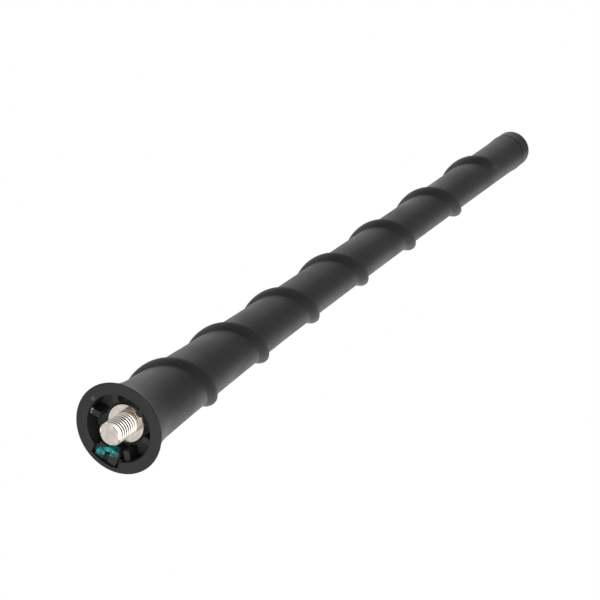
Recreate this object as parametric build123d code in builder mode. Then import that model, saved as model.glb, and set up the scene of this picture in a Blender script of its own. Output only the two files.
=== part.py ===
"""Car mast aerial: a short rubber whip with a helical fin, a ribbed foot and a threaded stud.

The rim of the foot lies in the plane z = 0, the mast rises along +Z and the stud points down.
All sizes are in millimetres and all angles in degrees, counted from +X about +Z.
"""

import os
from math import cos, radians, sin

from build123d import *

os.makedirs("parts", exist_ok=True)

# Whole mast
MAST_LENGTH = 186.4
FIT_CLEARANCE = 0.05
WINDING_CLEARANCE = 0.1

# Skirt at the foot
SKIRT_RADIUS = 9.7
SKIRT_HEIGHT = 10.5
SKIRT_BAND = 0.35
RIM_CHAMFER = 0.2

# Whip: two long hollow parabolas that meet smoothly at the bend, upright at the tip's collar
WHIP_FOOT_RADIUS = 6.95
WHIP_BEND_RADIUS = 4.84
WHIP_BEND_HEIGHT = 77.4
WHIP_TOP_RADIUS = 4.12

# Tip: a slight collar below the seam, then the separate end cap
CAP_LENGTH = 4.8
CAP_RADIUS = 4.18
CAP_ROUND = 1.6
COLLAR_RADIUS = 4.3
COLLAR_LENGTH = 4.0
SEAM_CHAMFER = 0.3
SPIGOT_LENGTH = 5.0
SOCKET_DEPTH = 2.6

# Helical fin: its crest runs round the whip and sinks into it at both ends
FIN_PITCH = 23.7
FIN_START_HEIGHT = 10.7
FIN_START_ANGLE = -90.0
FIN_HEADROOM = 8.6
FIN_FADE_ANGLE = 75.0
FIN_END_DEPTH = 0.45
FIN_POINTS_PER_TURN = 12
FIN_HEIGHT = 1.05
FIN_ROOT = 1.0
FIN_BACK = 0.45
FIN_FRONT = 0.55
FIN_FAIRING = 3.4
FIN_CHAMFER = 0.3

# Recess in the foot, inside the flat rim, with its ribs
RIM_WIDTH = 2.55
RECESS_DEPTH = 4.4
RIB_COUNT = 5
RIB_SPACING = 60.0
RIB_WIDTH = 1.4
RIB_GAP = 0.75
RIB_DROP = 1.0
RIB_SINK = 0.5

# Index pocket in the rim, with the split lug that carries the colour mark
INDEX_ANGLE = -84.0
POCKET_LIP = 1.0
POCKET_WIDTH = 6.4
POCKET_DEPTH = 1.2
LUG_GAP = 0.95
LUG_END_GAP = 0.3
LUG_BLOCK_WIDTH = 2.0
LUG_SLOT = 1.0
LUG_DROP = 0.4
PAINT_THICKNESS = 0.2
PAINT_EDGE = 0.1
PAINT_NEAR_LENGTH = 0.8
PAINT_FAR_LENGTH = 1.1
PAINT_BRIDGE = 0.9
PAINT_RUN = 2.0

# Threaded stud: stud, flange and shank in one turned piece
STUD_RADIUS = 2.5
STUD_PROUD = 3.4
STUD_CHAMFER = 0.5
FLANGE_RADIUS = 4.25
FLANGE_THICKNESS = 1.3
FLANGE_CHAMFER = 0.25
NOTCH_COUNT = 2
NOTCH_WIDTH = 1.5
NOTCH_DEPTH = 0.5
SHANK_RADIUS = 3.0
SHANK_LENGTH = 14.0
ROD_SOCKET_DEPTH = 9.0

# Core rod, winding and solder
ROD_RADIUS = 1.5
WIRE_DIAMETER = 0.6
WINDING_HEADROOM = 7.0
SOLDER_LENGTH = 2.4
SOLDER_LAP = 1.2
SOLDER_LIP = 0.3

# Sizes and places that follow from those above
SEAM_HEIGHT = MAST_LENGTH - CAP_LENGTH
WHIP_TOP = SEAM_HEIGHT - COLLAR_LENGTH
WHIP_UPPER_LENGTH = WHIP_TOP - WHIP_BEND_HEIGHT
WHIP_LOWER_LENGTH = WHIP_BEND_HEIGHT - SKIRT_HEIGHT
WHIP_BEND_SLOPE = 2 * (WHIP_BEND_RADIUS - WHIP_TOP_RADIUS) / WHIP_UPPER_LENGTH
WHIP_CONTROL_RADIUS = WHIP_BEND_RADIUS + WHIP_BEND_SLOPE * WHIP_LOWER_LENGTH / 2
FIN_TURNS = (WHIP_TOP - FIN_HEADROOM - FIN_START_HEIGHT) / FIN_PITCH
FIN_END_ANGLE = FIN_START_ANGLE + 360 * FIN_TURNS
RECESS_RADIUS = SKIRT_RADIUS - RIM_WIDTH
RIB_INNER_RADIUS = FLANGE_RADIUS + RIB_GAP
POCKET_RADIUS = SKIRT_RADIUS - POCKET_LIP
LUG_INNER_RADIUS = FLANGE_RADIUS + LUG_GAP
LUG_LENGTH = POCKET_RADIUS - LUG_END_GAP - LUG_INNER_RADIUS
LUG_MIDDLE = LUG_INNER_RADIUS + LUG_LENGTH / 2
LUG_HALF_WIDTH = LUG_BLOCK_WIDTH + LUG_SLOT / 2
FLANGE_FACE = RECESS_DEPTH - FLANGE_THICKNESS
SHANK_TOP = RECESS_DEPTH + SHANK_LENGTH
SOLDER_TOP = SHANK_TOP + SOLDER_LENGTH
SPIGOT_FOOT = SEAM_HEIGHT - SPIGOT_LENGTH
WINDING_FOOT = SOLDER_TOP - SOLDER_LAP
WINDING_TOP = SPIGOT_FOOT - WINDING_HEADROOM
ROD_FOOT = SHANK_TOP - ROD_SOCKET_DEPTH
ROD_TOP = SPIGOT_FOOT + SOCKET_DEPTH - FIT_CLEARANCE
ROD_BORE_RADIUS = ROD_RADIUS + FIT_CLEARANCE
WINDING_RADIUS = ROD_BORE_RADIUS + WIRE_DIAMETER
WINDING_BORE_RADIUS = WINDING_RADIUS + WINDING_CLEARANCE
SHANK_BORE_RADIUS = SHANK_RADIUS + FIT_CLEARANCE
SHANK_BORE_TOP = SOLDER_TOP + WINDING_CLEARANCE


def whip_radius(height):
    """Radius of the plain whip at a height above the rim."""
    if height > WHIP_BEND_HEIGHT:
        rise = (WHIP_TOP - height) / WHIP_UPPER_LENGTH
        return WHIP_TOP_RADIUS + (WHIP_BEND_RADIUS - WHIP_TOP_RADIUS) * rise**2
    fall = (WHIP_BEND_HEIGHT - height) / WHIP_LOWER_LENGTH
    at_bend = WHIP_BEND_RADIUS * (1 - fall) ** 2
    between = 2 * WHIP_CONTROL_RADIUS * fall * (1 - fall)
    return at_bend + between + WHIP_FOOT_RADIUS * fall**2


def whip_point(height):
    """Point of the whip's outline, as radius and height."""
    return (whip_radius(height), height)


def on_circle(radius, angle, height):
    """Point at a radius and an angle about the mast's axis."""
    return (radius * cos(radians(angle)), radius * sin(radians(angle)), height)


def fin_point(angle):
    """Point on the line that the fin's section follows, sunk into the whip near both ends."""
    height = FIN_START_HEIGHT + FIN_PITCH * (angle - FIN_START_ANGLE) / 360
    from_end = min(angle - FIN_START_ANGLE, FIN_END_ANGLE - angle)
    fade = max(0.0, 1 - from_end / FIN_FADE_ANGLE)
    sunk = (FIN_HEIGHT + FIN_END_DEPTH) * fade**2
    return on_circle(whip_radius(height) - sunk, angle, height)


# The index pocket, the lug and its paint lie along this plane's X
index_plane = Plane.XY.rotated((0, 0, INDEX_ANGLE))

# Sheath: one rubber moulding
with BuildPart() as sheath:
    with BuildSketch(Plane.XZ):
        with BuildLine():
            Polyline(
                (0, 0),
                (SKIRT_RADIUS - RIM_CHAMFER, 0),
                (SKIRT_RADIUS, RIM_CHAMFER),
                (SKIRT_RADIUS, SKIRT_BAND),
            )
            lower_whip = Bezier(
                whip_point(SKIRT_HEIGHT),
                (WHIP_CONTROL_RADIUS, (SKIRT_HEIGHT + WHIP_BEND_HEIGHT) / 2),
                whip_point(WHIP_BEND_HEIGHT),
            )
            TangentArc(lower_whip @ 0, (SKIRT_RADIUS, SKIRT_BAND), tangent=-(lower_whip % 0))
            Bezier(
                lower_whip @ 1,
                (WHIP_TOP_RADIUS, (WHIP_BEND_HEIGHT + WHIP_TOP) / 2),
                whip_point(WHIP_TOP),
            )
            Polyline(
                whip_point(WHIP_TOP),
                (COLLAR_RADIUS, SEAM_HEIGHT - SEAM_CHAMFER),
                (COLLAR_RADIUS - SEAM_CHAMFER, SEAM_HEIGHT),
                (0, SEAM_HEIGHT),
                (0, 0),
            )
        make_face()
    revolve(axis=Axis.Z)
    # Fin: a chamfered crest with a steep back towards the tip and a fairing towards the foot
    fin_steps = round(FIN_TURNS * FIN_POINTS_PER_TURN)
    fin_turn = (FIN_END_ANGLE - FIN_START_ANGLE) / fin_steps
    with BuildLine() as fin_path:
        Spline([fin_point(FIN_START_ANGLE + fin_turn * step) for step in range(fin_steps + 1)])
    fin_plane = Plane(
        origin=fin_path.line @ 0,
        x_dir=on_circle(1, FIN_START_ANGLE, 0),
        z_dir=fin_path.line % 0,
    )
    with BuildSketch(fin_plane) as fin_section:
        with BuildLine():
            Polyline(
                (-FIN_ROOT, -FIN_BACK),
                (FIN_HEIGHT, -FIN_BACK),
                (FIN_HEIGHT, FIN_FRONT),
                (-FIN_ROOT, FIN_FAIRING),
                close=True,
            )
        make_face()
        chamfer(fin_section.vertices().group_by(Axis.X)[-1], FIN_CHAMFER)
    sweep(path=fin_path.line, is_frenet=True)
    # Recess, pocket, ribs and split lug
    with BuildSketch():
        Circle(RECESS_RADIUS)
    extrude(amount=RECESS_DEPTH, mode=Mode.SUBTRACT)
    with BuildSketch(index_plane):
        Circle(POCKET_RADIUS)
        Rectangle(POCKET_RADIUS, POCKET_WIDTH, align=(Align.MIN, Align.CENTER), mode=Mode.INTERSECT)
    extrude(amount=POCKET_DEPTH, mode=Mode.SUBTRACT)
    rib_length = RECESS_RADIUS - RIB_INNER_RADIUS + RIB_SINK
    with BuildSketch(Plane.XY.offset(RIB_DROP)):
        with PolarLocations(RIB_INNER_RADIUS, RIB_COUNT, 0, RIB_COUNT * RIB_SPACING):
            Rectangle(rib_length, RIB_WIDTH, align=(Align.MIN, Align.CENTER))
    extrude(amount=RECESS_DEPTH - RIB_DROP)
    with BuildSketch(index_plane.offset(LUG_DROP)):
        with Locations((LUG_MIDDLE, 0)):
            with GridLocations(LUG_LENGTH, LUG_BLOCK_WIDTH + LUG_SLOT, 1, 2):
                Rectangle(LUG_LENGTH, LUG_BLOCK_WIDTH)
    extrude(amount=RECESS_DEPTH - LUG_DROP)
    # Bores for the shank and the winding
    with BuildSketch(Plane.XY.offset(RECESS_DEPTH)):
        Circle(SHANK_BORE_RADIUS)
    extrude(amount=SHANK_BORE_TOP - RECESS_DEPTH, mode=Mode.SUBTRACT)
    with BuildSketch(Plane.XY.offset(SHANK_BORE_TOP)):
        Circle(WINDING_BORE_RADIUS)
    extrude(amount=SEAM_HEIGHT - SHANK_BORE_TOP, mode=Mode.SUBTRACT)
sheath.part.label = "sheath"
export_step(sheath.part, "parts/sheath.step")

# Tip cap: rounded end with a spigot in the sheath's bore and a socket for the rod
with BuildPart() as tip_cap:
    spigot_radius = WINDING_BORE_RADIUS - FIT_CLEARANCE
    with BuildSketch(Plane.XZ):
        with BuildLine():
            Polyline(
                (ROD_BORE_RADIUS, SPIGOT_FOOT),
                (spigot_radius, SPIGOT_FOOT),
                (spigot_radius, SEAM_HEIGHT),
                (CAP_RADIUS - SEAM_CHAMFER, SEAM_HEIGHT),
                (CAP_RADIUS, SEAM_HEIGHT + SEAM_CHAMFER),
                (CAP_RADIUS, MAST_LENGTH - CAP_ROUND),
            )
            RadiusArc(
                (CAP_RADIUS, MAST_LENGTH - CAP_ROUND),
                (CAP_RADIUS - CAP_ROUND, MAST_LENGTH),
                -CAP_ROUND,
            )
            Polyline(
                (CAP_RADIUS - CAP_ROUND, MAST_LENGTH),
                (0, MAST_LENGTH),
                (0, SPIGOT_FOOT + SOCKET_DEPTH),
                (ROD_BORE_RADIUS, SPIGOT_FOOT + SOCKET_DEPTH),
                (ROD_BORE_RADIUS, SPIGOT_FOOT),
            )
        make_face()
    revolve(axis=Axis.Z)
tip_cap.part.label = "tip_cap"
export_step(tip_cap.part, "parts/tip_cap.step")

# Threaded stud: turned stud and shank, with two notches in the flange in line with the ribs
with BuildPart() as threaded_stud:
    with BuildSketch(Plane.XZ):
        with BuildLine():
            Polyline(
                (0, -STUD_PROUD),
                (STUD_RADIUS - STUD_CHAMFER, -STUD_PROUD),
                (STUD_RADIUS, STUD_CHAMFER - STUD_PROUD),
                (STUD_RADIUS, FLANGE_FACE),
                (FLANGE_RADIUS - FLANGE_CHAMFER, FLANGE_FACE),
                (FLANGE_RADIUS, FLANGE_FACE + FLANGE_CHAMFER),
                (FLANGE_RADIUS, RECESS_DEPTH),
                (SHANK_RADIUS, RECESS_DEPTH),
                (SHANK_RADIUS, SHANK_TOP),
                (ROD_BORE_RADIUS, SHANK_TOP),
                (ROD_BORE_RADIUS, ROD_FOOT),
                (0, ROD_FOOT),
                (0, -STUD_PROUD),
            )
        make_face()
    revolve(axis=Axis.Z)
    with BuildSketch(Plane.XY.offset(FLANGE_FACE)):
        with PolarLocations(FLANGE_RADIUS, NOTCH_COUNT, 2 * RIB_SPACING):
            Rectangle(2 * NOTCH_DEPTH, NOTCH_WIDTH)
    extrude(amount=FLANGE_THICKNESS, mode=Mode.SUBTRACT)
threaded_stud.part.label = "threaded_stud"
export_step(threaded_stud.part, "parts/threaded_stud.step")

# Core rod
with BuildPart() as core_rod:
    with BuildSketch(Plane.XY.offset(ROD_FOOT)):
        Circle(ROD_RADIUS)
    extrude(amount=ROD_TOP - ROD_FOOT)
core_rod.part.label = "core_rod"
export_step(core_rod.part, "parts/core_rod.step")

# Aerial winding: about ninety turns of copper wire round the rod, side by side as one solid
with BuildPart() as aerial_winding:
    with BuildSketch(Plane.XY.offset(WINDING_FOOT)):
        Circle(WINDING_RADIUS)
        Circle(ROD_BORE_RADIUS, mode=Mode.SUBTRACT)
    extrude(amount=WINDING_TOP - WINDING_FOOT)
aerial_winding.part.label = "aerial_winding"
export_step(aerial_winding.part, "parts/aerial_winding.step")

# Solder joint: a cone on the shank's end that laps over the foot of the winding
with BuildPart() as solder_joint:
    with BuildSketch(Plane.XZ):
        with BuildLine():
            Polyline(
                (ROD_BORE_RADIUS, SHANK_TOP),
                (SHANK_RADIUS, SHANK_TOP),
                (WINDING_RADIUS + SOLDER_LIP, SOLDER_TOP),
                (WINDING_RADIUS, SOLDER_TOP),
                (WINDING_RADIUS, WINDING_FOOT),
                (ROD_BORE_RADIUS, WINDING_FOOT),
                close=True,
            )
        make_face()
    revolve(axis=Axis.Z)
solder_joint.part.label = "solder_joint"
export_step(solder_joint.part, "parts/solder_joint.step")

# Colour mark: a slanting daub of paint across the lug's slot, run down one block's inner end
with BuildPart() as colour_mark:
    paint_inner = LUG_INNER_RADIUS - PAINT_THICKNESS
    paint_outer = LUG_INNER_RADIUS + LUG_LENGTH - PAINT_EDGE
    paint_side = LUG_HALF_WIDTH - PAINT_EDGE
    with BuildSketch(index_plane.offset(LUG_DROP - PAINT_THICKNESS)):
        with BuildLine():
            Polyline(
                (paint_inner, -paint_side),
                (LUG_INNER_RADIUS + PAINT_NEAR_LENGTH, -paint_side),
                (paint_outer, paint_side),
                (paint_outer - PAINT_FAR_LENGTH, paint_side),
                (paint_inner, LUG_SLOT / 2),
                close=True,
            )
        make_face()
        with Locations((LUG_INNER_RADIUS + PAINT_BRIDGE, 0)):
            Rectangle(LUG_LENGTH, LUG_SLOT, align=(Align.MIN, Align.CENTER), mode=Mode.SUBTRACT)
    extrude(amount=PAINT_THICKNESS)
    with BuildSketch(index_plane.offset(LUG_DROP)):
        with Locations((paint_inner, -LUG_SLOT / 2)):
            Rectangle(PAINT_THICKNESS, paint_side - LUG_SLOT / 2, align=(Align.MIN, Align.MAX))
    extrude(amount=PAINT_RUN)
colour_mark.part.label = "colour_mark"
export_step(colour_mark.part, "parts/colour_mark.step")
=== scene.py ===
"""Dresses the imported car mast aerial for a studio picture.

The row frame is kept: the rim of the foot lies in z = 0, the mast rises along +Z and the stud
points down. Lengths are in metres, written as millimetres times MM, and angles are in degrees.
"""

from __future__ import annotations

import logging
import math
from dataclasses import dataclass, field
from enum import Enum
from typing import Iterable, Sequence

import bmesh
import bpy
from mathutils import Matrix, Vector, noise

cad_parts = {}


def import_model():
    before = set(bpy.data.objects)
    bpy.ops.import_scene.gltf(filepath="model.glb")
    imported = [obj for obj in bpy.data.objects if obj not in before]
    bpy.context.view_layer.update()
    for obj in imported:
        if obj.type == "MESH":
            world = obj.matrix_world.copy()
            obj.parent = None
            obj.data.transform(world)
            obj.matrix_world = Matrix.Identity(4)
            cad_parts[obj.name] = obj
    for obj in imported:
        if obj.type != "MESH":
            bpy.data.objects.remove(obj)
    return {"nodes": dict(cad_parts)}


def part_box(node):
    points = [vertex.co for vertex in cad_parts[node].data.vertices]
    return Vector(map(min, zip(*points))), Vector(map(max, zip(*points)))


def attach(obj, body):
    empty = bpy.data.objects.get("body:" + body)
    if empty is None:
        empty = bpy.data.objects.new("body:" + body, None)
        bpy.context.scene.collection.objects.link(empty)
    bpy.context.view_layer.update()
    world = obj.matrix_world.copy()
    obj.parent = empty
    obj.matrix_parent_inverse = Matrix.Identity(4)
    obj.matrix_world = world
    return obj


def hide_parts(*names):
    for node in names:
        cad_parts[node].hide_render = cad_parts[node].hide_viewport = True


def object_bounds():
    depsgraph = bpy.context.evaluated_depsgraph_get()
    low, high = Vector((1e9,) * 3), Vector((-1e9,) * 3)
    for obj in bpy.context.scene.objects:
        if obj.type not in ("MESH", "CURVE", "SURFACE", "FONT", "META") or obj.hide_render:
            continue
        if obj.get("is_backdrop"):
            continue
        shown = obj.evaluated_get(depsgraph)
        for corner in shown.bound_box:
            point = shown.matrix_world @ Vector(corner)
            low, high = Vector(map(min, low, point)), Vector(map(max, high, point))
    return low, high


LOG = logging.getLogger("mast_aerial")
MM = 0.001
WELD = 0.002 * MM
BODY = "root"
# Attribute with the thread's depth, which sets the dirt and painted shade in its roots
GROOVE = "groove"
WHITE = (1, 1, 1, 1)

# Range in which most of a soft noise lies
NOISE_LOW = 0.3
NOISE_HIGH = 0.7

# A point of an outline, as its radius and its height
Station = tuple[float, float]

# A place, or a factor along each axis
Triple = tuple[float, float, float]
Colour = Triple


class Solid(Enum):
    """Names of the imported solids."""

    SHEATH = "sheath"
    TIP_CAP = "tip_cap"
    STUD = "threaded_stud"
    MARK = "colour_mark"
    ROD = "core_rod"
    WINDING = "aerial_winding"
    SOLDER = "solder_joint"


class Slot(Enum):
    """Names of the record's material slots."""

    RUBBER = "black_rubber"
    PLASTIC = "black_plastic"
    NICKEL = "nickel"
    PAINT = "teal_paint"
    FIBRE = "glass_fibre"
    COPPER = "copper_wire"
    SOLDER = "solder"


class Cut(Enum):
    """Ways to combine one mesh with another."""

    ADD = "UNION"
    TAKE = "DIFFERENCE"


class NodeSheet:
    """A material's node tree, with short ways to add nodes to it."""

    def __init__(self, name: str) -> None:
        """Start a material with a principled shader and object coordinates.

        Args:
            name: Name of the material.
        """
        self.material = bpy.data.materials.new(name)
        self.material.use_nodes = True
        self.nodes = self.material.node_tree.nodes
        self.links = self.material.node_tree.links
        self.shader = self.nodes["Principled BSDF"]
        self.coords = self.nodes.new("ShaderNodeTexCoord")

    def set(self, **values: float) -> None:
        """Set constant values on the shader's own sockets, with underscores for spaces."""
        for name, value in values.items():
            self.shader.inputs[name.replace("_", " ")].default_value = value

    def feed(self, socket: bpy.types.NodeSocket, name: str) -> None:
        """Link a socket to one of the shader's inputs."""
        self.links.new(socket, self.shader.inputs[name])

    def place(self, stretch: Sequence[float]) -> bpy.types.NodeSocket:
        """Object coordinates, stretched along the axes.

        Args:
            stretch: Factor along each axis.

        Returns:
            The vector socket.
        """
        mapping = self.nodes.new("ShaderNodeMapping")
        mapping.inputs["Scale"].default_value = stretch
        self.links.new(self.coords.outputs["Object"], mapping.inputs["Vector"])
        return mapping.outputs["Vector"]

    def grain(
        self,
        size: float,
        detail: float = 2.0,
        stretch: Sequence[float] = (1, 1, 1),
    ) -> bpy.types.NodeSocket:
        """Soft noise of a given grain size.

        Args:
            size: Length of one grain.
            detail: Octaves of finer noise.
            stretch: Factor along each axis.

        Returns:
            A value socket about 0.5.
        """
        node = self.nodes.new("ShaderNodeTexNoise")
        node.inputs["Scale"].default_value = 1 / size
        node.inputs["Detail"].default_value = detail
        self.links.new(self.place(stretch), node.inputs["Vector"])
        return node.outputs[0]

    def spread(
        self,
        value: bpy.types.NodeSocket,
        low: float,
        high: float,
        start: float = NOISE_LOW,
        stop: float = NOISE_HIGH,
    ) -> bpy.types.NodeSocket:
        """Spread a value over a range.

        Args:
            value: Socket to spread.
            low: Result at start.
            high: Result at stop.
            start: Value that gives low.
            stop: Value that gives high.

        Returns:
            The spread value.
        """
        node = self.nodes.new("ShaderNodeMapRange")
        for name, number in zip(("From Min", "From Max", "To Min", "To Max"), (start, stop, low, high)):
            node.inputs[name].default_value = number
        self.links.new(value, node.inputs["Value"])
        return node.outputs["Result"]

    def tint(
        self,
        value: bpy.types.NodeSocket,
        dark: Sequence[float],
        light: Sequence[float],
        start: float = NOISE_LOW,
        stop: float = NOISE_HIGH,
    ) -> bpy.types.NodeSocket:
        """Run a value through two colours.

        Args:
            value: Socket that picks the colour.
            dark: Colour at start.
            light: Colour at stop.
            start: Value that gives the dark colour.
            stop: Value that gives the light colour.

        Returns:
            The colour socket.
        """
        node = self.nodes.new("ShaderNodeValToRGB")
        first, last = node.color_ramp.elements
        first.position, first.color = start, (*dark, 1)
        last.position, last.color = stop, (*light, 1)
        self.links.new(value, node.inputs["Fac"])
        return node.outputs["Color"]

    def attribute(self, name: str) -> bpy.types.NodeSocket:
        """Value of one of the mesh's own attributes.

        Args:
            name: Name of the attribute.

        Returns:
            The value socket.
        """
        node = self.nodes.new("ShaderNodeAttribute")
        node.attribute_name = name
        return node.outputs["Fac"]

    def blend(
        self,
        share: bpy.types.NodeSocket,
        under: bpy.types.NodeSocket,
        over: Sequence[float],
    ) -> bpy.types.NodeSocket:
        """Lay a plain colour over another one.

        Args:
            share: How much of the upper colour shows, from 0 to 1.
            under: Lower colour.
            over: Upper colour.

        Returns:
            The colour socket.
        """
        node = self.nodes.new("ShaderNodeMixRGB")
        node.inputs["Color2"].default_value = (*over, 1)
        self.links.new(share, node.inputs["Fac"])
        self.links.new(under, node.inputs["Color1"])
        return node.outputs["Color"]

    def spot(self, place: Sequence[float], size: float, ragged: float) -> bpy.types.NodeSocket:
        """A spot with a ragged edge.

        Args:
            place: Middle of the spot.
            size: Radius at which it has faded out.
            ragged: Grain size of its edge.

        Returns:
            A value socket, 1 in the middle and 0 outside.
        """
        away = self.nodes.new("ShaderNodeVectorMath")
        away.operation = "DISTANCE"
        away.inputs[1].default_value = place
        self.links.new(self.coords.outputs["Object"], away.inputs[0])
        edge = self.nodes.new("ShaderNodeMath")
        edge.operation = "ADD"
        self.links.new(away.outputs["Value"], edge.inputs[0])
        swing = size / 2
        core = size / 3
        self.links.new(self.spread(self.grain(ragged), -swing, swing), edge.inputs[1])
        return self.spread(edge.outputs[0], 1, 0, core, size)

    def bump(
        self,
        height: bpy.types.NodeSocket,
        depth: float,
        under: bpy.types.NodeSocket | None = None,
    ) -> bpy.types.NodeSocket:
        """Roughen the surface's normal.

        Args:
            height: Height from 0 to 1.
            depth: Length that a height of 1 stands for.
            under: A coarser bump that this one lies on.

        Returns:
            The normal socket.
        """
        node = self.nodes.new("ShaderNodeBump")
        node.inputs["Strength"].default_value = 1
        node.inputs["Distance"].default_value = depth
        self.links.new(height, node.inputs["Height"])
        if under is not None:
            self.links.new(under, node.inputs["Normal"])
        return node.outputs["Normal"]


@dataclass(frozen=True)
class PaleSpot:
    """A pale spot laid on the moulding's colour at a given place."""

    place: Triple
    size: float
    colour: Colour


@dataclass(frozen=True)
class MouldedFinish:
    """Matt black rubber or plastic from a mould, with a little dust on it."""

    name: str
    dark: Colour
    light: Colour
    mottle: float = 9 * MM
    grain: float = 0.12 * MM
    grain_depth: float = 0.006 * MM
    smooth: float = 0.42
    rough: float = 0.56
    specular: float = 0.14
    speck: float = 0.45 * MM
    speck_start: float = 0.66
    speck_stop: float = 0.8
    dust: Colour = (0.075, 0.075, 0.073)
    pale_spots: tuple[PaleSpot, ...] = ()
    ragged: float = 0.2 * MM

    def material(self) -> bpy.types.Material:
        """Make the material.

        Returns:
            The new material.
        """
        sheet = NodeSheet(self.name)
        mottle = sheet.grain(self.mottle, detail=4)
        fine = sheet.grain(self.grain, detail=3)
        specks = sheet.spread(sheet.grain(self.speck), 0, 1, self.speck_start, self.speck_stop)
        colour = sheet.blend(specks, sheet.tint(mottle, self.dark, self.light), self.dust)
        for pale_spot in self.pale_spots:
            colour = sheet.blend(sheet.spot(pale_spot.place, pale_spot.size, self.ragged), colour, pale_spot.colour)
        sheet.feed(colour, "Base Color")
        sheet.feed(sheet.spread(mottle, self.smooth, self.rough), "Roughness")
        sheet.feed(sheet.bump(fine, self.grain_depth), "Normal")
        sheet.set(Specular_IOR_Level=self.specular)
        return sheet.material


@dataclass(frozen=True)
class PlatedFinish:
    """Bright plated, soldered or drawn metal with faint turning marks, and dirt with painted shade in its
    grooves if given.
    """

    name: str
    dark: Colour
    light: Colour
    patch: float = 1.2 * MM
    mark: float = 0.05 * MM
    mark_depth: float = 0.001 * MM
    mark_stretch: Triple = (1, 1, 4)
    smooth: float = 0.1
    rough: float = 0.24
    # Dirt and painted shade in the thread's roots, darker where the groove is deeper
    dirt_and_shade: Colour | None = None
    dirt_and_shade_start: float = 0.1
    dirt_and_shade_stop: float = 0.75

    def material(self) -> bpy.types.Material:
        """Make the material.

        Returns:
            The new material.
        """
        sheet = NodeSheet(self.name)
        patch = sheet.grain(self.patch, detail=3)
        marks = sheet.grain(self.mark, stretch=self.mark_stretch)
        colour = sheet.tint(patch, self.dark, self.light)
        # Dirt and painted shade laid into the thread's roots by groove depth
        if self.dirt_and_shade is not None:
            groove = sheet.attribute(GROOVE)
            share = sheet.spread(groove, 0, 1, self.dirt_and_shade_start, self.dirt_and_shade_stop)
            colour = sheet.blend(share, colour, self.dirt_and_shade)
        sheet.feed(colour, "Base Color")
        sheet.feed(sheet.spread(patch, self.smooth, self.rough), "Roughness")
        sheet.feed(sheet.bump(marks, self.mark_depth), "Normal")
        sheet.set(Metallic=1)
        return sheet.material


@dataclass(frozen=True)
class DaubedFinish:
    """Thick glossy paint, daubed on by hand."""

    name: str
    dark: Colour
    light: Colour
    lump: float = 0.8 * MM
    lump_depth: float = 0.05 * MM
    dark_until: float = 0.36
    light_from: float = 0.62
    smooth: float = 0.22
    rough: float = 0.4
    specular: float = 0.25

    def material(self) -> bpy.types.Material:
        """Make the material.

        Returns:
            The new material.
        """
        sheet = NodeSheet(self.name)
        lumps = sheet.grain(self.lump, detail=3)
        colour = sheet.tint(lumps, self.dark, self.light, self.dark_until, self.light_from)
        sheet.feed(colour, "Base Color")
        sheet.feed(sheet.spread(lumps, self.smooth, self.rough), "Roughness")
        sheet.feed(sheet.bump(lumps, self.lump_depth), "Normal")
        sheet.set(Specular_IOR_Level=self.specular)
        return sheet.material


@dataclass(frozen=True)
class FibreFinish:
    """Pale drawn glass fibre with long streaks."""

    name: str
    dark: Colour
    light: Colour
    streak: float = 0.15 * MM
    draw: float = 0.02
    streak_depth: float = 0.01 * MM
    smooth: float = 0.3
    rough: float = 0.5

    def material(self) -> bpy.types.Material:
        """Make the material.

        Returns:
            The new material.
        """
        sheet = NodeSheet(self.name)
        streaks = sheet.grain(self.streak, detail=3, stretch=(1, 1, self.draw))
        sheet.feed(sheet.tint(streaks, self.dark, self.light), "Base Color")
        sheet.feed(sheet.spread(streaks, self.smooth, self.rough), "Roughness")
        sheet.feed(sheet.bump(streaks, self.streak_depth), "Normal")
        return sheet.material


def ease(share: float) -> float:
    """A step from 0 to 1 that starts and ends softly."""
    return share**2 * (3 - 2 * share)


def turn(bm: bmesh.types.BMesh, verts: Iterable[bmesh.types.BMVert], angle: float) -> None:
    """Turn points of a mesh about the mast's axis."""
    turned = Matrix.Rotation(math.radians(angle), 3, "Z")
    bmesh.ops.rotate(bm, verts=verts, cent=(0, 0, 0), matrix=turned)


def draw_chain(bm: bmesh.types.BMesh, points: Iterable[Station]) -> list[bmesh.types.BMElem]:
    """Draw a chain of edges in the XZ plane.

    Args:
        bm: Mesh to draw in.
        points: Radius and height of each point.

    Returns:
        The vertices and edges of the chain.
    """
    verts = [bm.verts.new((radius, 0, height)) for radius, height in points]
    edges = [bm.edges.new(pair) for pair in zip(verts, verts[1:])]
    return verts + edges


def corner(middle: Station, size: float, start: float, stop: float, steps: int = 4) -> list[Station]:
    """Points of a rounded corner.

    Args:
        middle: Radius and height of the rounding's centre.
        size: Radius of the rounding.
        start: Angle of the first point, from outwards towards up.
        stop: Angle of the last point.
        steps: Number of short edges.

    Returns:
        Radius and height of each point.
    """
    angles = [math.radians(start + (stop - start) * step / steps) for step in range(steps + 1)]
    return [(middle[0] + size * math.cos(a), middle[1] + size * math.sin(a)) for a in angles]


def lathe(points: Sequence[Station], steps: int) -> bmesh.types.BMesh:
    """Turn an outline about the mast's axis.

    Args:
        points: Radius and height of each point of the outline.
        steps: Edges round the axis.

    Returns:
        The closed mesh.
    """
    bm = bmesh.new()
    chain = draw_chain(bm, points)
    bmesh.ops.spin(
        bm, geom=chain, cent=(0, 0, 0), axis=(0, 0, 1), angle=math.tau, steps=steps, use_merge=True
    )
    bmesh.ops.remove_doubles(bm, verts=bm.verts, dist=WELD)
    bmesh.ops.recalc_face_normals(bm, faces=bm.faces)
    return bm


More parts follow.
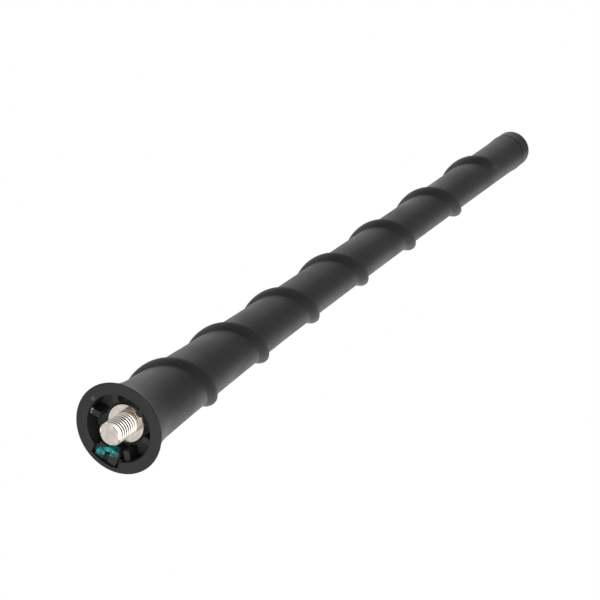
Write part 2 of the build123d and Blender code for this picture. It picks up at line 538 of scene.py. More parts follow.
def screw(
    points: Sequence[Station], start: float, pitch: float, turns: float, steps: int
) -> bmesh.types.BMesh:
    """Wind an outline about the mast's axis along a right-hand helix.

    Args:
        points: Radius and height of each point of the outline, one pitch from end to end where
            the turns are to close on each other.
        start: Angle at which the outline starts.
        pitch: Rise in one turn.
        turns: Number of turns.
        steps: Edges in one turn.

    Returns:
        The wound strip, with its turns joined.
    """
    bm = bmesh.new()
    chain = draw_chain(bm, points)
    turn(bm, bm.verts, start)
    bmesh.ops.spin(
        bm,
        geom=chain,
        cent=(0, 0, 0),
        axis=(0, 0, 1),
        dvec=(0, 0, pitch / steps),
        angle=math.tau * turns,
        steps=round(turns * steps),
    )
    bmesh.ops.remove_doubles(bm, verts=bm.verts, dist=WELD)
    return bm


def trim(bm: bmesh.types.BMesh, height: float, keep_above: bool) -> list[bmesh.types.BMEdge]:
    """Cut a wound strip level.

    Args:
        bm: Mesh to cut.
        height: Height of the cut.
        keep_above: Whether the upper part stays.

    Returns:
        The edges of the new rim.
    """
    bmesh.ops.bisect_plane(
        bm,
        geom=[*bm.verts, *bm.edges, *bm.faces],
        dist=WELD,
        plane_co=(0, 0, height),
        plane_no=(0, 0, 1),
        clear_inner=keep_above,
        clear_outer=not keep_above,
    )
    bmesh.ops.remove_doubles(bm, verts=bm.verts, dist=WELD)
    level = {vert for vert in bm.verts if abs(vert.co.z - height) < 2 * WELD}
    return [edge for edge in bm.edges if edge.is_boundary and set(edge.verts) <= level]


def carry(
    bm: bmesh.types.BMesh, rim: list[bmesh.types.BMEdge], stations: Iterable[Station]
) -> list[bmesh.types.BMEdge]:
    """Carry an open round rim through rings of given radius and height.

    Args:
        bm: Mesh that has the rim.
        rim: Edges of the open rim.
        stations: Radius and height of each ring.

    Returns:
        The edges of the last ring.
    """
    for radius, height in stations:
        grown = bmesh.ops.extrude_edge_only(bm, edges=rim)["geom"]
        verts = {item for item in grown if isinstance(item, bmesh.types.BMVert)}
        for vert in verts:
            flat = vert.co.to_2d().normalized() * radius
            vert.co = (flat.x, flat.y, height)
        edges = {edge for vert in verts for edge in vert.link_edges}
        rim = [edge for edge in edges if set(edge.verts) <= verts]
    return rim


def add_block(
    bm: bmesh.types.BMesh, low: Sequence[float], high: Sequence[float], angle: float, round_off: float = 0
) -> None:
    """Add a rounded block, turned about the mast's axis.

    Args:
        bm: Mesh to add it to.
        low: Lowest corner before the turn.
        high: Highest corner before the turn.
        angle: Turn about the axis.
        round_off: Rounding of the edges, or nothing.
    """
    verts = bmesh.ops.create_cube(bm, size=1)["verts"]
    size = Vector(high) - Vector(low)
    bmesh.ops.scale(bm, verts=verts, vec=size)
    bmesh.ops.translate(bm, verts=verts, vec=(Vector(high) + Vector(low)) / 2)
    turn(bm, verts, angle)
    if round_off:
        bmesh.ops.bevel(
            bm,
            geom=[*verts, *{edge for vert in verts for edge in vert.link_edges}],
            offset=round_off,
            affect="EDGES",
            segments=3,
            profile=0.5,
            material=-1,
        )


def add_mesh(bm: bmesh.types.BMesh, name: str) -> bpy.types.Object:
    """Make an object at the origin from a finished bmesh.

    Args:
        bm: Mesh, which is freed.
        name: Name of the object.

    Returns:
        The new object.
    """
    mesh = bpy.data.meshes.new(name)
    bm.to_mesh(mesh)
    bm.free()
    piece = bpy.data.objects.new(name, mesh)
    bpy.context.scene.collection.objects.link(piece)
    return piece


def combine(piece: bpy.types.Object, tool: bmesh.types.BMesh, how: Cut) -> None:
    """Add a mesh to a piece or take it away.

    Args:
        piece: Object whose mesh changes.
        tool: Closed mesh, which is freed.
        how: Whether the tool is added or taken away.
    """
    helper = add_mesh(tool, f"{piece.name}_tool")
    cut = piece.modifiers.new("cut", "BOOLEAN")
    cut.operation = how.value
    cut.solver = "EXACT"
    cut.object = helper
    view = bpy.context.evaluated_depsgraph_get()
    cut_mesh = bpy.data.meshes.new_from_object(piece.evaluated_get(view))
    piece.modifiers.clear()
    piece.data = cut_mesh
    bpy.data.objects.remove(helper)


def shade(piece: bpy.types.Object, sharp: float) -> None:
    """Shade a piece smoothly, with creases and even flat faces.

    Args:
        piece: Object to shade.
        sharp: Angle past which an edge is a crease.
    """
    piece.data.polygons.foreach_set("use_smooth", [True] * len(piece.data.polygons))
    piece.data.set_sharp_from_angle(angle=math.radians(sharp))
    even = piece.modifiers.new("even_normals", "WEIGHTED_NORMAL")
    even.keep_sharp = True


def install(piece: bpy.types.Object, material: bpy.types.Material, solid: Solid) -> None:
    """Give a piece its finish and let it stand for its solid.

    Args:
        piece: Finished object.
        material: Its finish.
        solid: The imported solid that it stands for.
    """
    piece.data.materials.clear()
    piece.data.materials.append(material)
    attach(piece, BODY)
    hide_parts(solid.value)
    LOG.info("%s: %d faces, for %s", piece.name, len(piece.data.polygons), solid.value)


@dataclass
class Fin:
    """The helical fin that winds up the whip."""

    top: float
    pitch: float = 23.7 * MM
    start_height: float = 10.7 * MM
    start_angle: float = -90.0
    fade: float = 60.0
    height: float = 1.05 * MM
    back: float = 0.2 * MM
    back_power: int = 4
    fairing: float = 2.2 * MM
    fairing_power: float = 1.25

    def crest(self, angle: float) -> float:
        """Height of the crest at an angle counted on through the turns."""
        return self.start_height + self.pitch * (angle - self.start_angle) / 360

    def end_angle(self) -> float:
        """Angle at which the fin has sunk into the whip at the tip."""
        return self.start_angle + 360 * (self.top - self.start_height) / self.pitch

    def sunk(self, angle: float) -> float:
        """Depth by which the fin has sunk into the whip near its ends.

        Args:
            angle: Angle counted on through the turns.

        Returns:
            The depth, none away from the ends.
        """
        from_end = min(angle - self.start_angle, self.end_angle() - angle)
        share = min(max(1 - from_end / self.fade, 0), 1)
        return self.height * ease(share)

    def rise(self, across: float) -> float:
        """Height of the fin's section above the whip.

        Args:
            across: Distance from the crest, towards the tip if positive.

        Returns:
            The height, none beyond the section.
        """
        if across > 0:
            share = min(across / self.back, 1)
            return self.height * math.sqrt(1 - share**self.back_power)
        share = min(-across / self.fairing, 1)
        return self.height * (1 - share**2) ** self.fairing_power


@dataclass
class Sheath:
    """The rubber moulding: whip with its fin, flared foot, recess, ribs and index lug."""

    finish: MouldedFinish
    rim_radius: float
    seam_height: float
    skirt_height: float = 10.5 * MM
    skirt_band: float = 0.35 * MM
    foot_radius: float = 6.95 * MM
    bend_radius: float = 4.84 * MM
    bend_height: float = 77.4 * MM
    top_radius: float = 4.12 * MM
    collar_radius: float = 4.3 * MM
    collar_length: float = 4.0 * MM
    seam_round: float = 0.3 * MM
    fin_headroom: float = 8.6 * MM
    rim_round: float = 0.25 * MM
    rim_width: float = 2.55 * MM
    recess_depth: float = 4.4 * MM
    recess_round: float = 0.25 * MM
    floor_round: float = 0.3 * MM
    shank_bore: float = 3.05 * MM
    shank_bore_top: float = 20.9 * MM
    winding_bore: float = 2.25 * MM
    rib_count: int = 5
    rib_spacing: float = 60.0
    rib_inner: float = 5.0 * MM
    rib_width: float = 1.4 * MM
    rib_drop: float = 1.0 * MM
    sink: float = 0.4 * MM
    edge_round: float = 0.2 * MM
    index_angle: float = -84.0
    pocket_lip: float = 1.0 * MM
    pocket_width: float = 6.4 * MM
    pocket_depth: float = 1.2 * MM
    lug_inner: float = 5.2 * MM
    lug_end_gap: float = 0.3 * MM
    lug_width: float = 2.0 * MM
    lug_slot: float = 1.0 * MM
    lug_drop: float = 0.4 * MM
    least_wall: float = 0.2 * MM
    steps_per_turn: int = 96
    fairing_steps: int = 14
    back_steps: int = 7
    plain_steps: int = 12
    plain_crowding: float = 1.5
    strip_turns: int = 9
    turns_below: float = 1.5
    crease: float = 35.0
    fin: Fin = field(init=False)

    def __post_init__(self) -> None:
        """Work out what follows from the driving sizes."""
        self.whip_top = self.seam_height - self.collar_length
        self.recess_radius = self.rim_radius - self.rim_width
        self.pocket_radius = self.rim_radius - self.pocket_lip
        self.lower_length = self.bend_height - self.skirt_height
        bend_slope = 2 * (self.bend_radius - self.top_radius) / (self.whip_top - self.bend_height)
        self.control_radius = self.bend_radius + bend_slope * self.lower_length / 2
        self.fin = Fin(self.whip_top - self.fin_headroom)
        self._set_skirt_arc()

    def _set_skirt_arc(self) -> None:
        """Find the arc that flares from the whip's foot to the rim, tangent to the whip."""
        slope = 2 * (self.foot_radius - self.control_radius) / self.lower_length
        outwards = Vector((1, slope)).normalized()
        whip_foot = Vector((self.foot_radius, self.skirt_height))
        chord = Vector((self.rim_radius, self.skirt_band)) - whip_foot
        self.arc_radius = chord.length_squared / (2 * chord.dot(outwards))
        self.arc_centre = whip_foot + outwards * self.arc_radius

    def radius(self, height: float) -> float:
        """Radius of the plain mast.

        Args:
            height: Height above the rim.

        Returns:
            The radius without the fin.
        """
        if height <= self.skirt_band:
            return self.rim_radius
        if height < self.skirt_height:
            above = height - self.arc_centre.y
            return self.arc_centre.x - math.sqrt(self.arc_radius**2 - above**2)
        if height < self.bend_height:
            fall = (self.bend_height - height) / self.lower_length
            between = 2 * self.control_radius * fall * (1 - fall)
            return self.bend_radius * (1 - fall) ** 2 + between + self.foot_radius * fall**2
        if height < self.whip_top:
            share = (self.whip_top - height) / (self.whip_top - self.bend_height)
            return self.top_radius + (self.bend_radius - self.top_radius) * share**2
        share = min((height - self.whip_top) / self.collar_length, 1)
        return self.top_radius + (self.collar_radius - self.top_radius) * ease(share)

    def strip_points(self) -> list[float]:
        """Where the wound strip has points across one pitch, crowded towards the fin.

        Returns:
            Distances from the fin's crest, towards the tip if positive.
        """
        fin = self.fin
        quarter = math.pi / 2
        plain_width = fin.pitch - fin.fairing - fin.back
        points = []
        for step in range(self.fairing_steps):
            points.append(-fin.fairing * math.cos(quarter * step / self.fairing_steps))
        for step in range(self.back_steps + 1):
            points.append(fin.back * math.sin(quarter * step / self.back_steps))
        for step in range(1, self.plain_steps + 1):
            points.append(fin.back + plain_width * (step / self.plain_steps) ** self.plain_crowding)
        return points

    def shape_vertex(self, vert: bmesh.types.BMVert) -> None:
        """Move a point of the strip on to the finned surface of the mast.

        Args:
            vert: Point of the strip, at its angle and at its distance from the crest.
        """
        fin = self.fin
        bearing = math.degrees(math.atan2(vert.co.y, vert.co.x))
        above_first = vert.co.z - fin.crest(bearing) + fin.fairing + WELD
        angle = bearing + 360 * math.floor(above_first / fin.pitch)
        crest = fin.crest(angle)
        across = vert.co.z - crest
        girth = math.tau * self.radius(max(crest, self.skirt_height))
        stretch = math.hypot(1, fin.pitch / girth)
        along = across * stretch
        if across > fin.back:
            far = fin.pitch - fin.fairing * stretch
            share = (across - fin.back) / (fin.pitch - fin.fairing - fin.back)
            along = fin.back * stretch + (far - fin.back * stretch) * share
        height = crest + along
        fin_height = max(fin.rise(across) - fin.sunk(angle), 0)
        flat = vert.co.to_2d().normalized() * (self.radius(height) + fin_height)
        vert.co = (flat.x, flat.y, height)

    def whip(self) -> bmesh.types.BMesh:
        """The finned mast as one wound strip, cut level at the rim and the seam, with its bore.

        Returns:
            The closed mesh.
        """
        fin = self.fin
        start = fin.start_angle - 360 * self.turns_below
        points = [(self.rim_radius, fin.crest(start) + across) for across in self.strip_points()]
        bm = screw(points, start, fin.pitch, self.strip_turns, self.steps_per_turn)
        for vert in bm.verts:
            self.shape_vertex(vert)
        rim = trim(bm, self.skirt_band, keep_above=True)
        seam = trim(bm, self.seam_height - self.seam_round, keep_above=False)
        rim = carry(bm, rim, self.foot_stations())
        seam_middle = (self.collar_radius - self.seam_round, self.seam_height - self.seam_round)
        stations = corner(seam_middle, self.seam_round, 0, 90)[1:]
        stations += [(self.winding_bore, self.seam_height), (self.winding_bore, self.shank_bore_top)]
        seam = carry(bm, seam, stations)
        bmesh.ops.bridge_loops(bm, edges=rim + seam)
        bmesh.ops.recalc_face_normals(bm, faces=bm.faces)
        return bm

    def foot_stations(self) -> list[Station]:
        """Rings that close the foot, from the rim's band into the recess and up the shank's bore.

        Returns:
            Radius and height of each ring.
        """
        rim = self.rim_round
        lip = self.recess_round
        bed = self.floor_round
        rings = corner((self.rim_radius - rim, rim), rim, 0, -90)
        rings += corner((self.recess_radius + lip, lip), lip, -90, -180)
        rings += corner((self.recess_radius - bed, self.recess_depth - bed), bed, 0, 90)
        return rings + [(self.shank_bore, self.recess_depth), (self.shank_bore, self.shank_bore_top)]

    def pocket(self) -> bmesh.types.BMesh:
        """The cutter for the index pocket in the rim.

        Returns:
            The closed cutter.
        """
        bm = bmesh.new()
        bmesh.ops.create_cone(
            bm,
            cap_ends=True,
            segments=self.steps_per_turn,
            radius1=self.pocket_radius,
            radius2=self.pocket_radius,
            depth=2 * self.pocket_depth,
        )
        half = self.pocket_width / 2
        sides = (((0, 1, 0), half), ((0, -1, 0), half), ((-1, 0, 0), -self.lug_inner))
        for normal, distance in sides:
            cut = bmesh.ops.bisect_plane(
                bm,
                geom=[*bm.verts, *bm.edges, *bm.faces],
                dist=WELD,
                plane_co=Vector(normal) * distance,
                plane_no=normal,
                clear_outer=True,
            )
            edges = [item for item in cut["geom_cut"] if isinstance(item, bmesh.types.BMEdge)]
            bmesh.ops.edgeloop_fill(bm, edges=edges)
        turn(bm, bm.verts, self.index_angle)
        bmesh.ops.recalc_face_normals(bm, faces=bm.faces)
        return bm

    def ribs_and_lug(self) -> bmesh.types.BMesh:
        """The ribs of the recess and the two blocks of the index lug.

        Returns:
            The blocks as one mesh.
        """
        bm = bmesh.new()
        bottom = self.recess_depth + self.sink
        for rib in range(self.rib_count):
            low = (self.rib_inner, -self.rib_width / 2, self.rib_drop)
            high = (self.recess_radius + self.sink, self.rib_width / 2, bottom)
            add_block(bm, low, high, rib * self.rib_spacing, self.edge_round)
        for side in (-1, 1):
            middle = side * (self.lug_slot + self.lug_width) / 2
            low = (self.lug_inner, middle - self.lug_width / 2, self.lug_drop)
            high = (self.pocket_radius - self.lug_end_gap, middle + self.lug_width / 2, bottom)
            add_block(bm, low, high, self.index_angle, self.edge_round)
        self.keep_inside(bm)
        return bm

    def keep_inside(self, bm: bmesh.types.BMesh) -> None:
        """Draw the lug's outer end in where it would stand out of the skirt.

        Args:
            bm: Mesh of the ribs and the lug.
        """
        turned = Matrix.Rotation(math.radians(self.index_angle), 2)
        along = turned @ Vector((1, 0))
        for vert in bm.verts:
            flat = vert.co.to_2d()
            widest = self.radius(vert.co.z) - self.least_wall
            if flat.length > widest:
                aside = flat - along * flat.dot(along)
                flat = aside + along * math.sqrt(widest**2 - aside.length_squared)
                vert.co = (flat.x, flat.y, vert.co.z)

    def build(self) -> bpy.types.Object:
        """Build the moulding.

        Returns:
            The dressed object.
        """
        piece = add_mesh(self.whip(), "rubber_sheath")
        combine(piece, self.pocket(), Cut.TAKE)
        combine(piece, self.ribs_and_lug(), Cut.ADD)
        shade(piece, self.crease)
        install(piece, self.finish.material(), Solid.SHEATH)
        return piece


@dataclass
class EndCap:
    """The rounded cap on the tip, with its spigot and the rod's socket."""

    finish: MouldedFinish
    low: float
    high: float
    cap_radius: float
    seam_height: float
    cap_round: float = 1.6 * MM
    cap_round_steps: int = 10
    seam_round: float = 0.3 * MM
    slot_width: float = 0.25 * MM
    slot_depth: float = 0.8 * MM
    spigot_radius: float = 2.2 * MM
    socket_radius: float = 1.55 * MM
    socket_depth: float = 2.6 * MM
    steps: int = 96
    crease: float = 35.0

    def outline(self) -> list[Station]:
        """Outline of the cap, from the spigot's socket round to the tip.

        Returns:
            Radius and height of each point.
        """
        seam, size = self.seam_round, self.cap_round
        points = [
            (0, self.low + self.socket_depth),
            (self.socket_radius, self.low + self.socket_depth),
            (self.socket_radius, self.low),
            (self.spigot_radius, self.low),
            (self.spigot_radius, self.seam_height),
            (self.cap_radius - self.slot_depth, self.seam_height),
        ]
        lip = self.seam_height + self.slot_width
        points.append((self.cap_radius - self.slot_depth, lip))
        points += corner((self.cap_radius - seam, lip + seam), seam, -90, 0)
        points += corner((self.cap_radius - size, self.high - size), size, 0, 90, self.cap_round_steps)
        return points + [(0, self.high)]

    def build(self) -> bpy.types.Object:
        """Build the cap.

        Returns:
            The dressed object.
        """
        piece = add_mesh(lathe(self.outline(), self.steps), "end_cap")
        shade(piece, self.crease)
        install(piece, self.finish.material(), Solid.TIP_CAP)
        return piece


@dataclass
class ScrewStud:
    """The plated stud with its thread, its notched flange and its shank."""

    finish: PlatedFinish
    low: float
    high: float
    flange_radius: float
    seat: float
    thread_radius: float = 2.5 * MM
    thread_pitch: float = 0.8 * MM
    thread_depth: float = 0.49 * MM
    crest_share: float = 0.2
    root_share: float = 0.14
    end_chamfer: float = 0.5 * MM
    flange_thickness: float = 1.3 * MM
    flange_chamfer: float = 0.25 * MM
    notch_angle: float = 120.0
    notch_width: float = 1.5 * MM
    notch_depth: float = 0.5 * MM
    cut_over: float = 1.0 * MM
    shank_radius: float = 3.0 * MM
    socket_radius: float = 1.55 * MM
    socket_depth: float = 9.0 * MM
    steps_per_turn: int = 72
    spare_turns: int = 3
    crease: float = 30.0

    def __post_init__(self) -> None:
        """Work out where the flange's face lies."""
        self.flange_face = self.seat - self.flange_thickness

    def depth(self, share: float) -> float:
        """Depth of the thread at a share of the pitch from its crest, up to a half."""
        flank = 0.5 - (self.crest_share + self.root_share) / 2
        return self.thread_depth * min(max((share - self.crest_share / 2) / flank, 0), 1)

    def thread_points(self) -> list[Station]:
        """Outline of one turn of the thread, from root to root, below the stud's end.

        Returns:
            Radius and height of each point.
        """
        crest, root = self.crest_share / 2, 0.5 - self.root_share / 2
        shares = [-0.5, -root, -(root + crest) / 2, -crest, crest, (root + crest) / 2, root, 0.5]
        foot = self.low - self.spare_turns / 2 * self.thread_pitch
        return [(self.thread_radius - self.depth(abs(s)), foot + s * self.thread_pitch) for s in shares]

    def mark_grooves(self, bm: bmesh.types.BMesh) -> None:
        """Note how deep each point of the thread lies, for the dirt and painted shade in its roots.

        Args:
            bm: Mesh of the thread alone.
        """
        groove = bm.verts.layers.float.new(GROOVE)
        for vert in bm.verts:
            if self.low + self.end_chamfer < vert.co.z < self.flange_face - 2 * WELD:
                vert[groove] = (self.thread_radius - vert.co.to_2d().length) / self.thread_depth

    def chamfer_end(self, bm: bmesh.types.BMesh) -> None:
        """Draw the thread in towards the stud's end.

        Args:
            bm: Mesh of the thread alone.
        """
        for vert in bm.verts:
            widest = self.thread_radius - self.end_chamfer + vert.co.z - self.low
            flat = vert.co.to_2d()
            if flat.length > widest:
                flat = flat.normalized() * widest
                vert.co = (flat.x, flat.y, vert.co.z)

    def rings(self) -> list[Station]:
        """Rings of the flange, the shank and the rod's socket.

        Returns:
            Radius and height of each ring.
        """
        return [
            (self.flange_radius - self.flange_chamfer, self.flange_face),
            (self.flange_radius, self.flange_face + self.flange_chamfer),
            (self.flange_radius, self.seat),
            (self.shank_radius, self.seat),
            (self.shank_radius, self.high),
            (self.socket_radius, self.high),
            (self.socket_radius, self.high - self.socket_depth),
        ]

    def turned(self) -> bmesh.types.BMesh:
        """The threaded stud, the flange and the shank as they leave the lathe.

        Returns:
            The closed mesh, without the notches.
        """
        turns = math.ceil((self.flange_face - self.low) / self.thread_pitch) + self.spare_turns
        bm = screw(self.thread_points(), 0, self.thread_pitch, turns, self.steps_per_turn)
        end = trim(bm, self.low, keep_above=True)
        neck = trim(bm, self.flange_face, keep_above=False)
        self.chamfer_end(bm)
        self.mark_grooves(bm)
        bmesh.ops.edgeloop_fill(bm, edges=end)
        bmesh.ops.edgeloop_fill(bm, edges=carry(bm, neck, self.rings()))
        bmesh.ops.recalc_face_normals(bm, faces=bm.faces)
        return bm

    def notches(self) -> bmesh.types.BMesh:
        """The cutter for the two notches in the flange.

        Returns:
            The blocks as one mesh.
        """
        bm = bmesh.new()
        half = self.notch_width / 2
        low = (self.flange_radius - self.notch_depth, -half, self.flange_face - self.cut_over)
        high = (self.flange_radius + self.cut_over, half, self.seat + self.cut_over)
        for angle in (self.notch_angle, self.notch_angle + 180):
            add_block(bm, low, high, angle)
        return bm

    def build(self) -> bpy.types.Object:
        """Build the stud.

        Returns:
            The dressed object.
        """
        piece = add_mesh(self.turned(), "screw_stud")
        combine(piece, self.notches(), Cut.TAKE)
        shade(piece, self.crease)
        install(piece, self.finish.material(), Solid.STUD)
        return piece


@dataclass
class IndexPaint:
    """The daub of paint across the split index lug, run down one inner end and the slot's mouth."""

    finish: DaubedFinish
    sheath: Sheath
    face: float
    depth: float
    edge: float = 0.1 * MM
    near_length: float = 0.8 * MM
    far_length: float = 1.9 * MM
    near_side: float = 2.15 * MM
    far_side: float = 2.45 * MM
    run_side: float = 1.35 * MM
    bridge: float = 1.0 * MM
    thickness: float = 0.2 * MM
    lump: float = 0.7 * MM
    lump_depth: float = 0.1 * MM
    cells: int = 3
    bare_cells: tuple[tuple[int, int], ...] = ((2, 0), (1, 2))
    cell_cuts: int = 4
    round_levels: int = 2

    def __post_init__(self) -> None:
        """Take the lug's sizes from the sheath."""
        self.slot = self.sheath.lug_slot / 2
        self.lug_inner = self.sheath.lug_inner
        self.outer = self.sheath.pocket_radius - self.sheath.lug_end_gap - self.edge

    def edges(self, across: float) -> tuple[float, float]:
        """Distances from the axis of the daub's inner and outer edge.

        Args:
            across: Distance across the lug, positive on the far block.

        Returns:
            Inner and outer edge.
        """
        far = (across - self.slot) / (self.far_side - self.slot)
        inner = self.lug_inner + max(far, 0) * (self.outer - self.far_length - self.lug_inner)
        near_outer = self.lug_inner + self.near_length
        share = (across + self.near_side) / (self.near_side + self.far_side)
        return inner, near_outer + share * (self.outer - near_outer)

    def film(self) -> bmesh.types.BMesh:
        """The painted faces as a thin sheet: two pads, the bridge between them and the run.

        The sheet starts as a square of cells: columns lead across the lug from the near block to
        the far one, and rows lead outwards from the foot of the run.

        Returns:
            The open sheet, in the index lug's own direction.
        """
        bm = bmesh.new()
        bmesh.ops.create_grid(bm, x_segments=self.cells, y_segments=self.cells, size=1)
        half = self.cells / 2
        bare = []
        for face in bm.faces:
            middle = face.calc_center_median()
            if (int((middle.x + 1) * half), int((middle.y + 1) * half)) in self.bare_cells:
                bare.append(face)
        bmesh.ops.delete(bm, geom=bare, context="FACES")
        for vert in bm.verts:
            column = round((vert.co.x + 1) * half)
            row = round((vert.co.y + 1) * half)
            near = self.run_side if row == 0 else self.near_side
            across = (-near, -self.slot, self.slot, self.far_side)[column]
            inner, outer = self.edges(across)
            bridged = min(inner + self.bridge, (inner + outer) / 2)
            reach = (self.lug_inner, inner, bridged, outer)[row]
            vert.co = (reach, across, self.depth if row == 0 else self.face)
        bmesh.ops.subdivide_edges(bm, edges=bm.edges, cuts=self.cell_cuts, use_grid_fill=True)
        bmesh.ops.recalc_face_normals(bm, faces=bm.faces)
        return bm

    def build(self) -> bpy.types.Object:
        """Build the daub.

        Returns:
            The dressed object.
        """
        bm = self.film()
        outwards = Vector((-1, 0, -1))
        if sum((face.normal.dot(outwards) for face in bm.faces), 0.0) < 0:
            bmesh.ops.reverse_faces(bm, faces=bm.faces)
        bm.normal_update()
        grown = bmesh.ops.extrude_face_region(bm, geom=bm.faces[:])["geom"]
        for vert in [item for item in grown if isinstance(item, bmesh.types.BMVert)]:
            swell = self.thickness + self.lump_depth * noise.noise(vert.co / self.lump)
            vert.co += vert.normal * swell
        turn(bm, bm.verts, self.sheath.index_angle)
        bmesh.ops.recalc_face_normals(bm, faces=bm.faces)
        piece = add_mesh(bm, "index_paint")
        rounding = piece.modifiers.new("round", "SUBSURF")
        rounding.levels = rounding.render_levels = self.round_levels
        piece.data.polygons.foreach_set("use_smooth", [True] * len(piece.data.polygons))
        install(piece, self.finish.material(), Solid.MARK)
        return piece


@dataclass
class Winding:
    """The copper wire wound on the core rod."""

    finish: PlatedFinish
    low: float
    high: float
    outer_radius: float
    wire: float = 0.6 * MM
    turns: int = 90
    steps_per_turn: int = 20
    sides: int = 8
    crease: float = 60.0

    def build(self) -> bpy.types.Object:
        """Build the winding.

        Returns:
            The dressed object.
        """
        half = self.wire / 2
        middle = (self.outer_radius - half, self.low + half)
        pitch = (self.high - self.low - self.wire) / self.turns
        bm = screw(corner(middle, half, 0, 360, self.sides), 0, pitch, self.turns, self.steps_per_turn)
        bmesh.ops.holes_fill(bm, edges=[e for e in bm.edges if e.is_boundary], sides=self.sides)
        bmesh.ops.recalc_face_normals(bm, faces=bm.faces)
        piece = add_mesh(bm, "wire_winding")
        shade(piece, self.crease)
        install(piece, self.finish.material(), Solid.WINDING)
        return piece


@dataclass
class Lamp:
    """A soft studio lamp, placed as the picture is seen."""

    name: str
    across: float
    above: float
    towards: float
    power: float
    size: float = 1.1

    def build(self, camera: bpy.types.Object, target: Vector) -> None:
        """Hang the lamp and aim it at the target.

        Args:
            camera: Camera whose right, up and back give the lamp's place.
            target: Point that the lamp shines at.
        """
        data = bpy.data.lights.new(self.name, "AREA")
        data.shape = "DISK"
        data.size = self.size
        data.energy = self.power
        lamp = bpy.data.objects.new(self.name, data)
        place = camera.matrix_world.to_3x3() @ Vector((self.across, self.above, self.towards))
        lamp.location = target + place
        lamp.rotation_euler = (-place).to_track_quat("-Z", "Y").to_euler()
        bpy.context.scene.collection.objects.link(lamp)


@dataclass
class Studio:
    """Camera, lamps, surroundings and floor."""

    middle: Vector
    eye: Triple = (-256.47 * MM, 431.43 * MM, -649.71 * MM)
    target: Triple = (-9.82 * MM, 16.39 * MM, 49.86 * MM)
    up: Triple = (0.4569, 0.8264, 0.3292)
    focal_pixels: float = 4150.0
    picture_pixels: float = 600.0
    sensor: float = 36.0
    clip_start: float = 0.01
    clip_end: float = 100.0
    floor_height: float = -1.5
    floor_size: float = 20.0
    floor_colour: Colour = (0.8, 0.8, 0.8)
    floor_rough: float = 0.9
    ambient: float = 0.12
    floor_glow: float = 0.75
    lamps: tuple[Lamp, ...] = (
        Lamp("key_lamp", -0.34, 0.83, 0.09, 2.6),
        Lamp("front_lamp", 0.0, -0.59, 0.68, 4.5),
        Lamp("foot_lamp", -0.42, -0.3, 0.74, 3.7, size=0.6),
        Lamp("top_lamp", 0.0, 0.72, -0.54, 2.7),
        Lamp("side_lamp", 0.51, -0.51, -0.54, 3.5),
        Lamp("back_lamp", -0.41, -0.29, -0.75, 4.5),
    )

    def camera(self) -> bpy.types.Object:
        """Stand the camera where the photograph was taken from.

        Returns:
            The camera.
        """
        data = bpy.data.cameras.new("photo_camera")
        data.sensor_width = self.sensor
        data.lens = self.focal_pixels / self.picture_pixels * self.sensor
        data.clip_start, data.clip_end = self.clip_start, self.clip_end
        camera = bpy.data.objects.new("photo_camera", data)
        forward = (Vector(self.target) - Vector(self.eye)).normalized()
        right = forward.cross(Vector(self.up)).normalized()
        turned = Matrix((right, right.cross(forward), -forward)).transposed().to_4x4()
        camera.matrix_world = Matrix.Translation(self.eye) @ turned
        bpy.context.scene.collection.objects.link(camera)
        bpy.context.scene.camera = camera
        bpy.context.view_layer.update()
        return camera

    @staticmethod
    def seen(nodes: bpy.types.Nodes, links: bpy.types.NodeLinks) -> bpy.types.NodeSocket:
        """Whether the camera, a shiny surface or glass looks at the surface.

        Args:
            nodes: Nodes of the material or world.
            links: Links of the material or world.

        Returns:
            A socket that is 1 where it does.
        """
        path = nodes.new("ShaderNodeLightPath")
        seen = path.outputs["Is Camera Ray"]
        for name in ("Is Glossy Ray", "Is Transmission Ray"):
            either = nodes.new("ShaderNodeMath")
            either.operation = "MAXIMUM"
            links.new(seen, either.inputs[0])
            links.new(path.outputs[name], either.inputs[1])
            seen = either.outputs[0]
        return seen

    def surroundings(self) -> None:
        """Light from all round, white where the camera or a shiny surface looks at it."""
        world = bpy.data.worlds.new("studio")
        bpy.context.scene.world = world
        world.use_nodes = True
        nodes, links = world.node_tree.nodes, world.node_tree.links
        soft = nodes["Background"]
        soft.inputs["Color"].default_value = WHITE
        soft.inputs["Strength"].default_value = self.ambient
        white = nodes.new("ShaderNodeBackground")
        white.inputs["Color"].default_value = WHITE
        white.inputs["Strength"].default_value = 1
        mix = nodes.new("ShaderNodeMixShader")
        links.new(self.seen(nodes, links), mix.inputs["Fac"])
        links.new(soft.outputs[0], mix.inputs[1])
        links.new(white.outputs[0], mix.inputs[2])
        links.new(mix.outputs[0], nodes["World Output"].inputs["Surface"])

    def floor(self) -> None:
        """A plain pale floor, well below the camera."""
        bm = bmesh.new()
        bmesh.ops.create_grid(bm, x_segments=1, y_segments=1, size=self.floor_size / 2)
        bmesh.ops.translate(bm, verts=bm.verts, vec=(0, 0, self.floor_height))
        floor = add_mesh(bm, "studio_floor")
        material = bpy.data.materials.new("pale_floor")
        material.use_nodes = True
        nodes, links = material.node_tree.nodes, material.node_tree.links
        shader = nodes["Principled BSDF"]
        shader.inputs["Base Color"].default_value = (*self.floor_colour, 1)
        shader.inputs["Roughness"].default_value = self.floor_rough
        shader.inputs["Emission Color"].default_value = WHITE
        glow = nodes.new("ShaderNodeMath")
        glow.operation = "MULTIPLY"
        glow.inputs[1].default_value = self.floor_glow
        links.new(self.seen(nodes, links), glow.inputs[0])
        links.new(glow.outputs[0], shader.inputs["Emission Strength"])
        floor.data.materials.append(material)
        floor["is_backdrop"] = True

    def build(self) -> None:
        """Set up the studio."""
        bpy.context.scene.view_settings.view_transform = "Standard"
        camera = self.camera()
        self.surroundings()
        self.floor()
        for lamp in self.lamps:
            lamp.build(camera, self.middle)


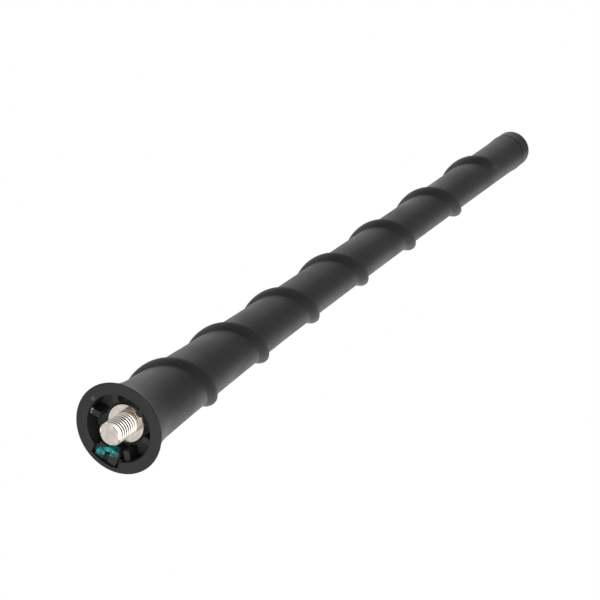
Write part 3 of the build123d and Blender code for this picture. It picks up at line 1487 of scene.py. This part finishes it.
@dataclass
class Aerial:
    """The whole aerial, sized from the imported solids."""

    nodes: dict[str, bpy.types.Object]
    rubber: MouldedFinish = MouldedFinish(
        "black_rubber",
        (0.023, 0.023, 0.024),
        (0.029, 0.029, 0.03),
        pale_spots=(
            PaleSpot((6.97 * MM, 0.48 * MM, 1.0 * MM), 0.38 * MM, (0.34, 0.34, 0.33)),
            PaleSpot((6.9 * MM, -0.3 * MM, 1.0 * MM), 0.3 * MM, (0.22, 0.22, 0.21)),
            PaleSpot((7.0 * MM, 3.4 * MM, 0.0), 0.6 * MM, (0.09, 0.09, 0.09)),
        ),
    )
    plastic: MouldedFinish = MouldedFinish("black_plastic", (0.022, 0.022, 0.023), (0.03, 0.03, 0.031))
    # The nickel's thread roots take dirt and painted shade
    nickel: PlatedFinish = PlatedFinish(
        "nickel", (0.56, 0.51, 0.45), (0.71, 0.67, 0.61), dirt_and_shade=(0.1, 0.085, 0.065)
    )
    paint: DaubedFinish = DaubedFinish("teal_paint", (0.002, 0.07, 0.075), (0.015, 0.31, 0.27))
    copper: PlatedFinish = PlatedFinish("copper_wire", (0.55, 0.2, 0.07), (0.72, 0.32, 0.14))
    solder: PlatedFinish = PlatedFinish("solder", (0.5, 0.5, 0.5), (0.66, 0.66, 0.65), rough=0.45)
    fibre: FibreFinish = FibreFinish("glass_fibre", (0.6, 0.56, 0.42), (0.78, 0.75, 0.62))

    def build(self) -> None:
        """Build and dress every piece."""
        sheath_low, sheath_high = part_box(Solid.SHEATH.value)
        cap_low, cap_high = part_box(Solid.TIP_CAP.value)
        stud_low, stud_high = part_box(Solid.STUD.value)
        mark_low, mark_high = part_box(Solid.MARK.value)
        wire_low, wire_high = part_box(Solid.WINDING.value)
        rim_radius = (sheath_high.x - sheath_low.x) / 2
        flange_radius = (stud_high.x - stud_low.x) / 2
        sheath = Sheath(self.rubber, rim_radius, sheath_high.z)
        sheath.build()
        EndCap(self.plastic, cap_low.z, cap_high.z, cap_high.x, sheath_high.z).build()
        ScrewStud(self.nickel, stud_low.z, stud_high.z, flange_radius, sheath.recess_depth).build()
        IndexPaint(self.paint, sheath, mark_low.z + IndexPaint.thickness, mark_high.z).build()
        Winding(self.copper, wire_low.z, wire_high.z, wire_high.x).build()
        for solid, finish in ((Solid.ROD, self.fibre), (Solid.SOLDER, self.solder)):
            node = self.nodes[solid.value]
            node.data.materials.clear()
            node.data.materials.append(finish.material())
            LOG.info("%s: dressed as packed", solid.value)


def main() -> None:
    """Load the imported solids, dress them and set up the studio."""
    logging.basicConfig(level=logging.INFO, format="%(name)s: %(message)s")
    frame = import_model()
    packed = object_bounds()
    Aerial(frame["nodes"]).build()
    Studio((packed[0] + packed[1]) / 2).build()


if __name__ == "__main__":
    main()
